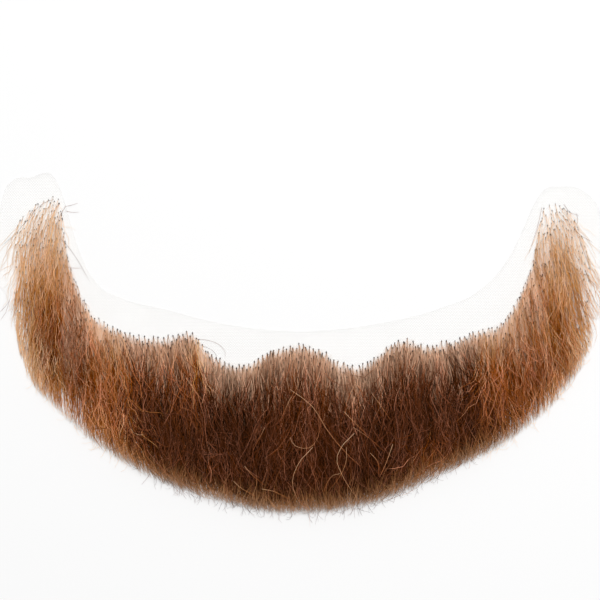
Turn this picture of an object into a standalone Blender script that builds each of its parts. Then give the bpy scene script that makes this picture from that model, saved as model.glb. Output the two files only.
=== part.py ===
"""A false beard, tied by hand on a net base and laid flat with its hair side up.

Blender 4.5, metres, +Z up. Run it with blender --background --python part.py, or from the text editor.
+X runs from one sideburn to the other, +Y from the chin tips to the sideburn tops, and the net lies on Z = 0.
The origin is under the middle of the beard. Left and right are those of someone who looks at the hair side.
"""

import math

import bmesh
import bpy
import numpy as np

# Sizes of the hair
HAIR_SPAN = 0.254  # across both sideburns
HAIR_HEIGHT = 0.137  # from the sideburn tops down to the chin tips
HAIR_LOFT = 0.0115  # the deepest hair above the net, on the chin
KNOT_EDGE_DEPTH = 0.0008  # hair at the front row of knots
TIP_EDGE_DEPTH = 0.0020  # hair at its tips
TIP_OVERHANG = 0.022  # hair past the net's lower edge, on the chin

# Sizes of the locks that the hair falls into
LOCK_WIDTH = 0.0064
LOCK_RELIEF = 0.0017  # a lock's crown above the valleys beside it
TIER_STEP = 0.0016  # where a row of tips ends on the row below it
TIP_NOTCH = 0.0050  # how far the hair draws back between two lock tips
LOCK_SWAY = 0.0011  # sideways wave of a lock

# Sizes of the net base
NET_THICKNESS = 0.0010
NET_SIDE_MARGIN = 0.0050  # bare net beside each sideburn
NET_TOP_MARGIN = 0.0090  # bare net above the sideburns

# Clearances
SEAT_GAP = 0.0003  # between the net and the hair that lies on it
FIELD_GAP = 0.0003  # between neighbouring fields of hair
NET_EDGE_CLEARANCE = 0.0012  # from the net's lower edge to where the hair turns down past it

# How finely the solids are divided
COLUMNS_PER_LOCK = 4
NET_COLUMNS = 84
TIERS = 3
SWAY_WAVES = 1.5

# Front row of knots: across is a share of half the hair's span, height a share of the hair's height
KNOT_EDGE = np.array(
    [
        (-1.000, 0.720),
        (-0.970, 0.890),
        (-0.915, 0.965),
        (-0.851, 1.000),
        (-0.822, 0.980),
        (-0.800, 0.835),
        (-0.770, 0.735),
        (-0.725, 0.650),
        (-0.665, 0.605),
        (-0.590, 0.575),
        (-0.470, 0.560),
        (-0.365, 0.567),
        (-0.325, 0.520),
        (-0.270, 0.488),
        (-0.195, 0.480),
        (-0.100, 0.522),
        (0.000, 0.537),
        (0.060, 0.522),
        (0.130, 0.482),
        (0.205, 0.476),
        (0.285, 0.532),
        (0.345, 0.557),
        (0.410, 0.538),
        (0.500, 0.552),
        (0.600, 0.585),
        (0.680, 0.615),
        (0.735, 0.700),
        (0.785, 0.830),
        (0.812, 0.955),
        (0.850, 0.980),
        (0.905, 0.950),
        (0.950, 0.855),
        (0.985, 0.745),
        (1.000, 0.690),
    ],
    dtype=[("across", float), ("height", float)],
)

# Lowest reach of the hair, in the same shares
TIP_EDGE = np.array(
    [
        (-1.000, 0.640),
        (-0.970, 0.545),
        (-0.915, 0.420),
        (-0.850, 0.351),
        (-0.720, 0.235),
        (-0.600, 0.160),
        (-0.470, 0.095),
        (-0.300, 0.040),
        (-0.110, 0.002),
        (0.030, 0.000),
        (0.205, 0.020),
        (0.345, 0.066),
        (0.500, 0.135),
        (0.680, 0.220),
        (0.785, 0.295),
        (0.850, 0.350),
        (0.905, 0.414),
        (0.950, 0.475),
        (0.985, 0.550),
        (1.000, 0.615),
    ],
    dtype=[("across", float), ("height", float)],
)

# Depth of the hair across the beard, as a share of its loft
LOFT_ACROSS = np.array(
    [
        (-1.00, 0.16),
        (-0.95, 0.36),
        (-0.80, 0.55),
        (-0.60, 0.82),
        (-0.35, 1.00),
        (0.35, 1.00),
        (0.60, 0.82),
        (0.80, 0.55),
        (0.95, 0.36),
        (1.00, 0.16),
    ],
    dtype=[("across", float), ("depth", float)],
)

# Depth of the hair from its knots, at 0, down to its tips, at 1
LOFT_ALONG = np.array(
    [
        (0.00, 0.00),
        (0.08, 0.22),
        (0.22, 0.52),
        (0.42, 0.84),
        (0.62, 1.00),
        (0.80, 0.94),
        (0.92, 0.64),
        (1.00, 0.00),
    ],
    dtype=[("along", float), ("depth", float)],
)

# Net outline: across is a share of half the net's span, upper a share of its reach above the chin tips,
# and lift how far its lower edge lies above the hair tips, as a share of the tips' overhang
NET_OUTLINE = np.array(
    [
        (-1.000, 0.850, 0.62),
        (-0.974, 0.955, 0.34),
        (-0.945, 0.990, 0.20),
        (-0.890, 1.000, 0.25),
        (-0.800, 0.985, 0.50),
        (-0.772, 0.918, 0.56),
        (-0.746, 0.832, 0.62),
        (-0.713, 0.750, 0.70),
        (-0.668, 0.685, 0.77),
        (-0.590, 0.644, 0.86),
        (-0.465, 0.615, 0.95),
        (-0.270, 0.571, 1.00),
        (0.000, 0.547, 1.00),
        (0.270, 0.574, 1.00),
        (0.446, 0.615, 0.95),
        (0.560, 0.659, 0.86),
        (0.641, 0.726, 0.77),
        (0.687, 0.791, 0.70),
        (0.720, 0.856, 0.62),
        (0.752, 0.924, 0.52),
        (0.780, 0.960, 0.46),
        (0.837, 0.974, 0.36),
        (0.909, 0.962, 0.24),
        (0.961, 0.915, 0.18),
        (0.987, 0.868, 0.34),
        (1.000, 0.815, 0.62),
    ],
    dtype=[("across", float), ("upper", float), ("lift", float)],
)

# Fields of hair of one shade each, with the colour of the plain solid
FIELDS = (
    {"node": "sideburn_hair_left", "start": -1.000, "end": -0.803, "colour": (0.52, 0.31, 0.16)},
    {"node": "cheek_hair_left", "start": -0.803, "end": -0.614, "colour": (0.27, 0.115, 0.045)},
    {"node": "chin_hair", "start": -0.614, "end": 0.583, "colour": (0.085, 0.032, 0.013)},
    {"node": "cheek_hair_right", "start": 0.583, "end": 0.783, "colour": (0.27, 0.115, 0.045)},
    {"node": "sideburn_hair_right", "start": 0.783, "end": 1.000, "colour": (0.52, 0.31, 0.16)},
)
HAIR_ROUGHNESS = 0.5
NET_COLOUR = (0.86, 0.83, 0.79)
NET_ROUGHNESS = 0.7

HALF_SPAN = HAIR_SPAN / 2
HALF_NET = HALF_SPAN + NET_SIDE_MARGIN
NET_REACH = HAIR_HEIGHT + NET_TOP_MARGIN
MID_HEIGHT = NET_REACH / 2
HAIR_SEAT = NET_THICKNESS + SEAT_GAP


def through(rows, known, wanted, at):
    """The smooth curve through a table's rows that never overshoots them, read at each value of at."""
    x, y = rows[known], rows[wanted]
    step = np.diff(x)
    rise = np.diff(y) / step
    slope = np.zeros(len(x))
    turns = rise[:-1] * rise[1:] <= 0
    weight_a = 2 * step[1:] + step[:-1]
    weight_b = step[1:] + 2 * step[:-1]
    safe = np.where(turns, 1.0, rise[:-1]), np.where(turns, 1.0, rise[1:])
    mean = (weight_a + weight_b) / (weight_a / safe[0] + weight_b / safe[1])
    slope[1:-1] = np.where(turns, 0.0, mean)
    slope[0], slope[-1] = rise[0], rise[-1]
    at = np.clip(at, x[0], x[-1])
    i = np.clip(np.searchsorted(x, at) - 1, 0, len(step) - 1)
    t = (at - x[i]) / step[i]
    return (
        y[i] * (1 + 2 * t) * (1 - t) ** 2
        + y[i + 1] * t**2 * (3 - 2 * t)
        + slope[i] * step[i] * t * (1 - t) ** 2
        - slope[i + 1] * step[i] * t**2 * (1 - t)
    )


def knots_y(x):
    """Height of the front row of knots at x."""
    return through(KNOT_EDGE, "across", "height", x / HALF_SPAN) * HAIR_HEIGHT - MID_HEIGHT


def tips_y(x):
    """Lowest reach of the hair at x."""
    return through(TIP_EDGE, "across", "height", x / HALF_SPAN) * HAIR_HEIGHT - MID_HEIGHT


def overhang(x):
    """How far the hair tips hang past the net's lower edge at x."""
    return through(NET_OUTLINE, "across", "lift", x / HALF_NET) * TIP_OVERHANG


def net_upper_y(x):
    return through(NET_OUTLINE, "across", "upper", x / HALF_NET) * NET_REACH - MID_HEIGHT


def net_lower_y(x):
    return tips_y(x) + overhang(x)


def plain_material(name, colour, roughness):
    material = bpy.data.materials.new(name)
    material.use_nodes = True
    shader = material.node_tree.nodes["Principled BSDF"]
    shader.inputs["Base Color"].default_value = (*colour, 1.0)
    shader.inputs["Roughness"].default_value = roughness
    shader.inputs["Metallic"].default_value = 0.0
    return material


def loft(name, rings, material, parent):
    """A closed solid through rings of points that stand one after another, with a flat cap at each end."""
    middle = np.array([(rings[0][:, 0].mean() + rings[-1][:, 0].mean()) / 2, 0.0, 0.0])
    build = bmesh.new()
    loops = [[build.verts.new(point - middle) for point in ring] for ring in rings]
    for near, far in zip(loops, loops[1:]):
        for k in range(len(near)):
            after = (k + 1) % len(near)
            build.faces.new((near[k], near[after], far[after], far[k]))
    build.faces.new(loops[0][::-1])
    build.faces.new(loops[-1])
    bmesh.ops.recalc_face_normals(build, faces=build.faces[:])
    bmesh.ops.triangulate(build, faces=build.faces[:], quad_method="SHORT_EDGE")
    mesh = bpy.data.meshes.new(name)
    build.to_mesh(mesh)
    build.free()
    mesh.materials.append(material)
    mesh.shade_smooth()
    mesh.set_sharp_from_angle(angle=math.radians(40))
    solid = bpy.data.objects.new(name, mesh)
    solid.location = middle
    solid.parent = parent
    bpy.context.scene.collection.objects.link(solid)
    return solid


def net_ring(x):
    """The net's upright section at x."""
    upper, lower = net_upper_y(x), net_lower_y(x)
    return np.array(
        [
            (x, upper, 0.0),
            (x, upper, NET_THICKNESS),
            (x, lower, NET_THICKNESS),
            (x, lower, 0.0),
        ]
    )


def lock_ring(x, share, lock_count):
    """A hair field's upright section at x, a share of the way across the field, from knots to tips and back.

    Its upper side swells with the loft, rides up on each lock's crown and steps down at the end of each tier.
    Its under side lies on the net, then falls past the net's edge to the level that the net lies on.
    """
    across = share * lock_count
    crown = math.sin(math.pi * (across % 1.0))
    stagger = 0.5 * (math.floor(across) % 2)
    drawn_back = TIP_NOTCH * (1 - crown) * overhang(x) / TIP_OVERHANG
    knots, tips = knots_y(x), tips_y(x) + drawn_back
    turn_down = net_lower_y(x) - NET_EDGE_CLEARANCE
    along = LOFT_ALONG["along"]
    y = knots + (tips - knots) * along
    deep = HAIR_LOFT * through(LOFT_ACROSS, "across", "depth", x / HALF_SPAN)
    swell = LOFT_ALONG["depth"]
    tier = (along * TIERS + stagger) % 1.0 - 0.5
    edge = KNOT_EDGE_DEPTH + (TIP_EDGE_DEPTH - KNOT_EDGE_DEPTH) * along
    relief = (LOCK_RELIEF * crown - TIER_STEP * tier) * np.sqrt(swell) * deep / HAIR_LOFT
    falls = np.clip((turn_down - y) / (turn_down - tips), 0.0, 1.0)
    z = HAIR_SEAT * (1 - falls) + edge + deep * swell + relief
    sway = LOCK_SWAY * math.sin(math.pi * share) * np.sin(2 * math.pi * SWAY_WAVES * along)
    top = np.column_stack([x + sway, y, z])
    turn_sway = np.interp(turn_down, y[::-1], sway[::-1])
    under = np.array(
        [
            (x + sway[-1], tips, 0.0),
            (x + turn_sway, turn_down, HAIR_SEAT),
            (x + sway[0], knots, HAIR_SEAT),
        ]
    )
    return np.vstack([top, under])


def hair_field(field, parent):
    """One field of hair between two lines that run along the hair, with a gap to its neighbours."""
    start_gap = FIELD_GAP / 2 if field["start"] > -1 else 0.0
    end_gap = FIELD_GAP / 2 if field["end"] < 1 else 0.0
    start_x = field["start"] * HALF_SPAN + start_gap
    end_x = field["end"] * HALF_SPAN - end_gap
    lock_count = max(1, round((end_x - start_x) / LOCK_WIDTH))
    shares = np.linspace(0.0, 1.0, lock_count * COLUMNS_PER_LOCK + 1)
    rings = [lock_ring(start_x + (end_x - start_x) * share, share, lock_count) for share in shares]
    material = plain_material(field["node"] + "_colour", field["colour"], HAIR_ROUGHNESS)
    return loft(field["node"], rings, material, parent)


def net_base(parent):
    """The net that every hair is knotted to, cut a little wider than the hair. Its columns close up at both ends."""
    turns = np.linspace(-math.pi / 2, math.pi / 2, NET_COLUMNS + 1)
    places = HALF_NET * np.sin(turns)
    material = plain_material("net_colour", NET_COLOUR, NET_ROUGHNESS)
    return loft("lace_base", [net_ring(x) for x in places], material, parent)


def main():
    for old in list(bpy.data.objects):
        bpy.data.objects.remove(old)
    beard = bpy.data.objects.new("false_beard", None)
    bpy.context.scene.collection.objects.link(beard)
    net_base(beard)
    for field in FIELDS:
        hair_field(field, beard)


main()
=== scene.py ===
"""The looks of a false beard: every hair tied to a thin lace net, laid flat on a white table.

Blender 4.5, metres, +Z up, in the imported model's frame: +X from one sideburn to the other, +Y from the
chin tips to the sideburn tops. It is laid out as an add-on, and runs as a script.
"""

import math

import bpy
import numpy as np
from bpy.props import FloatProperty, FloatVectorProperty, IntProperty, PointerProperty
from bpy.types import Operator, Panel, PropertyGroup
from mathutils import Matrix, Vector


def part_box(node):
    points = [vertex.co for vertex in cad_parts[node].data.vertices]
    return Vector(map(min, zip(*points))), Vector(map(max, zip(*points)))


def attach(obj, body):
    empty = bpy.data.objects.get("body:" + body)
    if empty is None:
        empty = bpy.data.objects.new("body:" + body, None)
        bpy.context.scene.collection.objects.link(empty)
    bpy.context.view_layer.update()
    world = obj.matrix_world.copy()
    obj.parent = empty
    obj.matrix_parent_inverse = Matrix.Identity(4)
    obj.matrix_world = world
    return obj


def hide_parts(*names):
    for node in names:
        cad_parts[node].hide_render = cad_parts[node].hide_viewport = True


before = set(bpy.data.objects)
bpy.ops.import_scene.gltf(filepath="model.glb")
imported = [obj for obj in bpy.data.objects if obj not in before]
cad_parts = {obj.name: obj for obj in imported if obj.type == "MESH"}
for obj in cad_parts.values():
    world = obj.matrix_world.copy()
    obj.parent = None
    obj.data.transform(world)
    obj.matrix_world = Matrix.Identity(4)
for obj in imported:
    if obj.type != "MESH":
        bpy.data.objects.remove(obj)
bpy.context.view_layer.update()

bl_info = {
    "name": "False Beard",
    "version": (1, 0, 0),
    "blender": (4, 5, 0),
    "location": "View3D > Sidebar > Beard",
    "description": "Ties hair to a lace net in the shape of a full beard and lights it on a white table",
    "category": "Object",
}

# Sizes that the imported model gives
NET_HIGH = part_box("lace_base")[1]
CHIN_LOW, CHIN_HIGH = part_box("chin_hair")
HALF_NET = NET_HIGH.x
HALF_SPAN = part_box("sideburn_hair_right")[1].x
CHIN_TIP = CHIN_LOW.y
HAIR_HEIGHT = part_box("sideburn_hair_left")[1].y - CHIN_TIP
NET_REACH = NET_HIGH.y - CHIN_TIP
HAIR_DEPTH = CHIN_HIGH.z - NET_HIGH.z
CHIN_START = CHIN_LOW.x
CHIN_END = CHIN_HIGH.x
LEFT_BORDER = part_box("sideburn_hair_left")[1].x
RIGHT_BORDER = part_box("sideburn_hair_right")[0].x

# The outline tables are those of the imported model: across is a share of half the hair's span, and height a
# share of the hair's height above the chin tips. Front row of knots:
KNOT_EDGE = np.array(
    [
        (-1.000, 0.720), (-0.970, 0.890), (-0.915, 0.965), (-0.851, 1.000), (-0.822, 0.980),
        (-0.800, 0.835), (-0.770, 0.735), (-0.725, 0.650), (-0.665, 0.605), (-0.590, 0.575),
        (-0.470, 0.560), (-0.365, 0.567), (-0.325, 0.520), (-0.270, 0.488), (-0.195, 0.480),
        (-0.100, 0.522), (0.000, 0.537), (0.060, 0.522), (0.130, 0.482), (0.205, 0.476),
        (0.285, 0.532), (0.345, 0.557), (0.410, 0.538), (0.500, 0.552), (0.600, 0.585),
        (0.680, 0.615), (0.735, 0.700), (0.785, 0.830), (0.812, 0.955), (0.850, 0.980),
        (0.905, 0.950), (0.950, 0.855), (0.985, 0.745), (1.000, 0.690),
    ]
)
# Lowest reach of the hair
TIP_EDGE = np.array(
    [
        (-1.000, 0.640), (-0.970, 0.545), (-0.915, 0.420), (-0.850, 0.351), (-0.720, 0.235),
        (-0.600, 0.160), (-0.470, 0.095), (-0.300, 0.040), (-0.110, 0.002), (0.030, 0.000),
        (0.205, 0.020), (0.345, 0.066), (0.500, 0.135), (0.680, 0.220), (0.785, 0.295),
        (0.850, 0.350), (0.905, 0.414), (0.950, 0.475), (0.985, 0.550), (1.000, 0.615),
    ]
)
# Across as a share of half the net's span, and the net's upper edge as a share of its reach above the chin
# tips
NET_UPPER = np.array(
    [
        (-1.000, 0.850), (-0.974, 0.955), (-0.945, 0.990), (-0.890, 1.000), (-0.800, 0.985),
        (-0.772, 0.918), (-0.746, 0.832), (-0.713, 0.750), (-0.668, 0.685), (-0.590, 0.644),
        (-0.465, 0.615), (-0.270, 0.571), (0.000, 0.547), (0.270, 0.574), (0.446, 0.615),
        (0.560, 0.659), (0.641, 0.726), (0.687, 0.791), (0.720, 0.856), (0.752, 0.924),
        (0.780, 0.960), (0.837, 0.974), (0.909, 0.962), (0.961, 0.915), (0.987, 0.868),
        (1.000, 0.815),
    ]
)
# Across as a share of half the net's span, and how far the hair hangs past the net's lower edge
NET_OVERHANG = np.array(
    [
        (-1.000, 0.0136), (-0.945, 0.0044), (-0.890, 0.0055), (-0.800, 0.0110), (-0.668, 0.0169),
        (-0.465, 0.0209), (-0.270, 0.0220), (0.270, 0.0220), (0.446, 0.0209), (0.641, 0.0169),
        (0.752, 0.0114), (0.909, 0.0053), (0.961, 0.0040), (1.000, 0.0136),
    ]
)
# Depth of the hair across the beard, and from its knots at 0 down to its tips at 1, each as a share of its
# most
DEPTH_ACROSS = np.array(
    [(-1.00, 0.16), (-0.95, 0.36), (-0.80, 0.55), (-0.60, 0.82), (-0.35, 1.00),
     (0.35, 1.00), (0.60, 0.82), (0.80, 0.55), (0.95, 0.36), (1.00, 0.16)]
)
DEPTH_ALONG = np.array(
    [(0.00, 0.00), (0.08, 0.22), (0.22, 0.52), (0.42, 0.86), (0.60, 1.00),
     (0.75, 0.90), (0.87, 0.58), (0.95, 0.24), (1.00, 0.00)]
)
# The way the hair leans across the beard, in degrees from straight down towards +X: at the upper ends of the
# arms, and everywhere below them
LEAN_ACROSS = np.array(
    [
        (-1.00, -14.0, -6.0), (-0.93, -12.0, -2.0), (-0.90, -11.0, 0.0), (-0.87, -9.0, 0.0),
        (-0.82, -7.0, 1.0), (-0.77, -2.0, 5.0), (-0.60, 8.0, 8.0), (-0.30, 4.0, 4.0),
        (0.00, 1.0, 1.0), (0.40, 2.0, 2.0), (0.62, 5.0, 5.0), (0.76, -2.0, 6.0),
        (0.80, -11.0, 4.0), (0.84, 6.0, 8.0), (0.88, 20.0, 12.0), (0.93, 23.0, 16.0),
        (1.00, 24.0, 19.0),
    ]
)
LEAN_LOW = 0.040  # the lower lean holds below this height,
LEAN_HIGH = 0.052  # and the upper one above this
# Tone of the hair across the beard, from 0, straw, to 1, the darkest brown
TONE_ACROSS = np.array(
    [(-1.000, 0.12), (-0.950, 0.24), (-0.900, 0.48), (-0.840, 0.60), (-0.720, 0.58), (-0.618, 0.56),
     (-0.608, 0.86), (-0.500, 0.90), (-0.430, 0.88), (-0.350, 0.92), (-0.290, 0.94), (-0.235, 0.98),
     (-0.160, 1.00), (-0.105, 0.88), (0.030, 0.87), (0.085, 0.95), (0.140, 0.93), (0.205, 0.99),
     (0.250, 1.00), (0.300, 0.92), (0.400, 0.89), (0.575, 0.95), (0.587, 0.56), (0.720, 0.58),
     (0.820, 0.57), (0.880, 0.44), (0.930, 0.26), (1.000, 0.10)]
)
# Patches where the hair differs: the middle across and up, half the width and height, all in mm, by how much
# its tone does, and its length as a share
PATCHES = (
    (-44.5, 2.5, 3.8, 5.5, -0.85, 0.30),  # short golden tuft
    (20.5, -8.0, 5.0, 9.0, -0.12, 1.00),
    (-30.0, -7.0, 6.0, 5.0, -0.05, 1.00),
    (-12.0, -2.0, 5.0, 5.0, -0.08, 1.00),
    (-62.0, 0.0, 18.0, 3.5, -0.20, 1.00),
    (-56.0, -13.0, 20.0, 9.0, 0.11, 1.00),
    (-87.0, 8.0, 10.0, 8.0, -0.06, 1.00),
    (-102.0, 7.0, 9.0, 11.0, 0.22, 1.00),
    (-117.0, 7.0, 6.0, 10.0, -0.40, 1.00),
    (-110.0, -4.0, 6.0, 6.0, -0.35, 1.00),
    (-82.0, -23.0, 12.0, 6.0, -0.30, 1.00),
    (-47.0, -37.0, 15.0, 6.0, -0.16, 1.00),
    (57.0, -31.0, 14.0, 7.0, -0.24, 1.00),
    (79.0, -20.0, 10.0, 9.0, 0.33, 1.00),
    (98.0, 16.0, 6.0, 7.0, -0.20, 1.00),
    (104.0, -1.0, 9.0, 8.0, 0.18, 1.00),
    (115.0, 5.0, 6.0, 9.0, -0.25, 1.00),
)
# Hairs tied in a knot across the beard, as a share of the chin's
FILL_ACROSS = np.array(
    [(-1.00, 0.60), (-0.96, 0.62), (-0.90, 0.85), (-0.84, 0.92), (-0.79, 0.60), (-0.72, 0.80), (-0.60, 0.85),
     (-0.40, 0.90), (-0.25, 1.00), (0.60, 1.00), (0.70, 0.75), (0.77, 0.48), (0.80, 0.60), (0.84, 0.85),
     (0.88, 0.80), (0.94, 0.60), (1.00, 0.38)]
)
# and as a share of that by the distance from the front edge
FILL_FRONT = np.array(
    [(0.0000, 0.36), (0.0020, 0.42), (0.0040, 0.54), (0.0060, 0.70), (0.0090, 0.90), (0.0120, 1.00)]
)
# Stray hairs: tone, lightness, and the points in mm that each passes through. The first ones lie on the chin,
STRAY_HAIRS = (
    (0.48, 0.75, ((21.5, -35.5), (16.0, -41.0), (14.0, -46.0), (16.0, -52.0), (21.5, -61.5), (24.0, -65.5))),
    (0.52, 0.60, ((18.0, -41.0), (18.0, -46.5), (16.0, -52.0), (13.5, -56.0), (10.0, -61.0))),
    (0.52, 0.60, ((15.5, -52.0), (12.5, -53.0), (10.0, -56.5), (8.5, -61.5))),
    (0.52, 0.70, ((-5.5, -37.0), (-4.0, -40.0), (-0.5, -41.5), (3.0, -41.0), (6.0, -37.5), (6.5, -28.0))),
    (0.52, 0.75, ((4.0, -41.0), (-2.0, -48.0), (-4.5, -56.0), (-1.5, -65.0), (2.0, -69.0), (3.0, -77.5))),
    (0.52, 0.65, ((-5.5, -17.5), (3.5, -24.0), (11.0, -35.5), (20.0, -45.5), (26.0, -51.0))),
    (0.58, 0.65, ((37.5, -40.0), (34.0, -49.5), (31.5, -54.5))),
    (0.62, 0.60, ((21.0, -33.0), (29.0, -38.5), (34.5, -43.5))),
    (0.62, 0.60, ((28.0, -43.5), (31.0, -47.0), (31.5, -54.0))),
    (0.58, 0.60, ((-29.0, -55.5), (-26.0, -58.5), (-19.5, -62.5))),
    (0.58, 0.60, ((-17.5, -59.0), (-12.5, -60.0), (-5.0, -64.0))),
    (0.62, 0.60, ((-16.0, -33.0), (-17.5, -36.0), (-21.0, -42.5))),
    (0.62, 0.55, ((-24.5, -49.0), (-22.0, -52.0), (-16.0, -57.5))),
    (0.58, 0.60, ((17.0, -26.5), (20.0, -29.5), (27.0, -36.5))),
    (0.58, 0.60, ((29.0, -19.0), (31.5, -22.5), (37.0, -30.5))),
    (0.52, 0.70, ((-5.0, -20.5), (-6.0, -22.5), (-9.0, -29.0))),
    (0.48, 0.70, ((-49.5, -12.5), (-47.0, -16.0), (-42.0, -22.5))),
    (0.48, 0.75, ((-41.5, -12.5), (-41.0, -14.5), (-36.5, -19.5))),
    # and the darker ones stand off the front edge and the sideburns
    (0.75, 0.35, ((-45.5, 3.5), (-41.0, 3.0), (-36.0, 1.0), (-33.5, -2.0), (-33.5, -5.0))),
    (0.80, 0.35, ((-43.0, 0.5), (-39.5, -1.0), (-37.5, -3.0), (-37.5, -6.5))),
    (0.90, 0.20, ((-118.0, 54.5), (-122.0, 50.0), (-129.5, 43.5))),
    (0.75, 0.40, ((-102.0, 60.5), (-99.5, 61.0), (-96.5, 62.0))),
    (0.75, 0.40, ((-102.0, 58.5), (-99.5, 58.0), (-96.0, 58.0))),
    (0.80, 0.35, ((-103.5, 46.5), (-98.5, 40.0), (-91.5, 28.0))),
    (0.75, 0.40, ((-101.5, 34.5), (-98.0, 34.0), (-94.5, 34.0))),
    (0.75, 0.40, ((-125.0, 20.0), (-128.0, 16.5), (-130.5, 14.5))),
    (0.75, 0.40, ((-125.0, 20.5), (-126.0, 17.0), (-129.5, 11.5))),
    (0.75, 0.35, ((-102.0, 60.5), (-103.5, 58.0), (-105.5, 50.5), (-106.5, 47.0))),
    (0.70, 0.35, ((-107.0, 63.5), (-111.0, 62.0), (-116.5, 56.5), (-117.5, 53.5))),
    (0.75, 0.40, ((102.5, 60.0), (101.5, 55.0), (97.0, 40.0))),
    (0.75, 0.35, ((112.0, 61.5), (114.5, 58.0), (119.0, 56.5))),
    (0.75, 0.35, ((117.5, 57.5), (118.0, 54.0), (116.5, 51.0))),
    (0.75, 0.35, ((115.5, 51.5), (118.0, 49.0), (124.5, 45.0))),
    (0.70, 0.45, ((116.5, 51.0), (120.0, 41.5), (124.0, 31.5))),
    (0.75, 0.35, ((121.0, 30.0), (125.0, 27.0), (127.5, 25.0))),
    (0.75, 0.35, ((123.0, 22.5), (125.5, 18.5), (127.5, 16.0))),
)

# Curled tips at the lower edge: the shares of half the span that they stand between, how far inside the
# edge they start, their length, the mean and spread of their heading and the spread of their turn in
# degrees, their height as a share of TIP_SEAT, their width as a share of a hair's, and their lightness
WISP = {"across": (-0.93, 0.95), "inside": (0.0015, 0.0060), "length": (0.0025, 0.0060),
        "heading": (6.0, 38.0), "turn": 75.0, "height": (0.3, 1.2), "width": (0.5, 0.8), "shade": (0.1, 0.7)}

# Drifts that neighbours share: their strength, the size of their waves, their seed, and the share of a
# place's height that counts, which is small where streaks run along the hair
DRIFTS = {
    "net_lift": (0.5, 0.030, 5, 1.0),
    "depth": (0.07, 0.009, 31, 1.0),
    "tone": (0.05, 0.008, 11, 0.2),
    "shade": (0.22, 0.006, 13, 0.3),
    "lean": (5.0, 0.022, 21, 1.0),
    "turn": (8.0, 0.007, 22, 1.0),
    "inset": (0.0007, 0.005, 41, 0.2),
}
WAVE_COUNT = 8
WAVE_STRETCH = (0.6, 1.6)
# Seeds of the other random draws. The kinds of hair count on from theirs
SEEDS = {"knots": 4, "hair": 7, "knot_turn": 8, "knot_shade": 9, "knot_size": 12, "stray": 17}

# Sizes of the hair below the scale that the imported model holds
HAIR_SIDES = 3  # one triangle closes a hair at its root
KNOT_SIDES = 5
KNOT_SHAPE = (0.85, 1.15, 0.70)  # a knot's size across, along and up, as shares
KNOT_LIE = 0.9  # height of its middle above the net, as a share of half its size
ARM_KNOT = 0.22  # it is smaller by this share on the arms
KNOT_JITTER = ((0.00030,), (0.00050,))  # spread of its place across and along
ROOT_SPREAD = 0.00012  # and of the hairs in it
EVEN_WIDTH = (0.8, 1.2)  # range of the width of hairs and knots, as a share
TAPER = np.array([(0.00, 1.00), (0.15, 1.00), (0.70, 0.90), (1.00, 0.45)])  # width of a hair along it
CHIN_COARSE = 0.60  # chin hair is wider than the arms' by this share
STRAY_STEPS = np.linspace(0.0, 1.0, 13)
STRAY_LIFT = 0.0005  # height of the stray hairs above the net, past the beard's edges,
STRAY_PILE = 1.2  # and above that on the hair, as a share of its depth
STRAY_WIDTH = 0.9
DARK_STRAY = 0.65  # those of more tone than this leave out the root's pale part
PALE_STRAY_START = 0.12  # where on the root-to-tip colours the paler ones start,
DARK_STRAY_START = 0.35  # and the dark ones,
STRAY_STRETCH = 0.25  # and how much of those colours they show
NET_COLUMNS = 200
NET_ROWS = 24
NET_LIE = 0.00025  # the net's upper side above the table
NET_RISE = 0.008  # the bare net lifts off the table over this way past the front knots
HAIR_CLOSE = 0.0040  # the hair hides the net and lifts stray hairs from this far inside its front edge,
HAIR_OUT = 0.96  # and hides the net out to this share of half the span,
HAIR_FADE = 0.010  # less and less over this way before it
HAIR_SEAT = 0.0006  # depth of the hair at its front row of knots
TIP_SEAT = 0.0020  # and at its tips
DEPTH_SHARE = 0.80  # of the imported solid's depth that the mean hair fills
NET_HEM = 0.0015  # from the net's lower edge to the last row of knots
EDGE_SAMPLES = 4000
FULL_CHIN = 0.8  # the hair is as long as the chin's out to this share of the chin
LENGTH_SPREAD = 0.17  # spread of a hair's length as a share,
LENGTH_RANGE = (0.5, 1.4)  # and its limits
SHORTEST = 0.003
LONGEST = 1.12  # share of the mean length that is counted for the rise to the top of the pile
KNOT_TURN = 3.0  # spread of a knot's heading in degrees
STEP_POWER = 1.3  # a hair bends at places that are closer together near its root,
TURN_POWER = 1.6  # and its turn grows towards the tip
FULL_CRIMP = 3.0  # its crimp is full from the length over this
INSET_SHAPE = 1.8  # tips end inside the lower edge by a gamma distribution of this shape
INSET_SCALE = 0.0012  # and scale,
INSET_LEAST = 0.0010  # plus this,
ARM_INSET = 0.1  # and by this share of it on the arms
ARM_LOW = 0.006  # the hair thins from this height
ARM_HIGH = 0.052  # to this one
ARM_FILL = 0.48
KNOT_LIMIT_LEFT = -0.975  # knots end at these shares of half the span
KNOT_LIMIT_RIGHT = 0.970
TONE_COUNT = 12  # columns of the hair's UV map, one for each tone
SHADE_COUNT = 8  # columns inside each, one for each lightness of a single hair, painted shade included
COLUMN_FILL = 0.6
PALE_LOW = 0.028  # the arms turn from auburn, below this height,
PALE_HIGH = 0.058  # to straw, above this one
PALE_TONE = 0.05
PALE_POWER = 0.7
TONE_BLUR = 0.0010  # tones mix across this way at the front edge,
TONE_BLUR_MORE = 0.10  # and across this share of the way down from it more,
TONE_BLUR_REACH = 0.040  # as far down as this
TONE_SPREAD = 0.05
KNOT_SHADE = 0.25  # share of a hair's lightness that its knot sets
OUTER_REACH = 0.014  # outside the chin the hair is paler within this way of the lower edge,
OUTER_PALE = 0.70  # by up to this much tone,
OUTER_THIN = 0.45  # and thinner by up to this share
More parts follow.
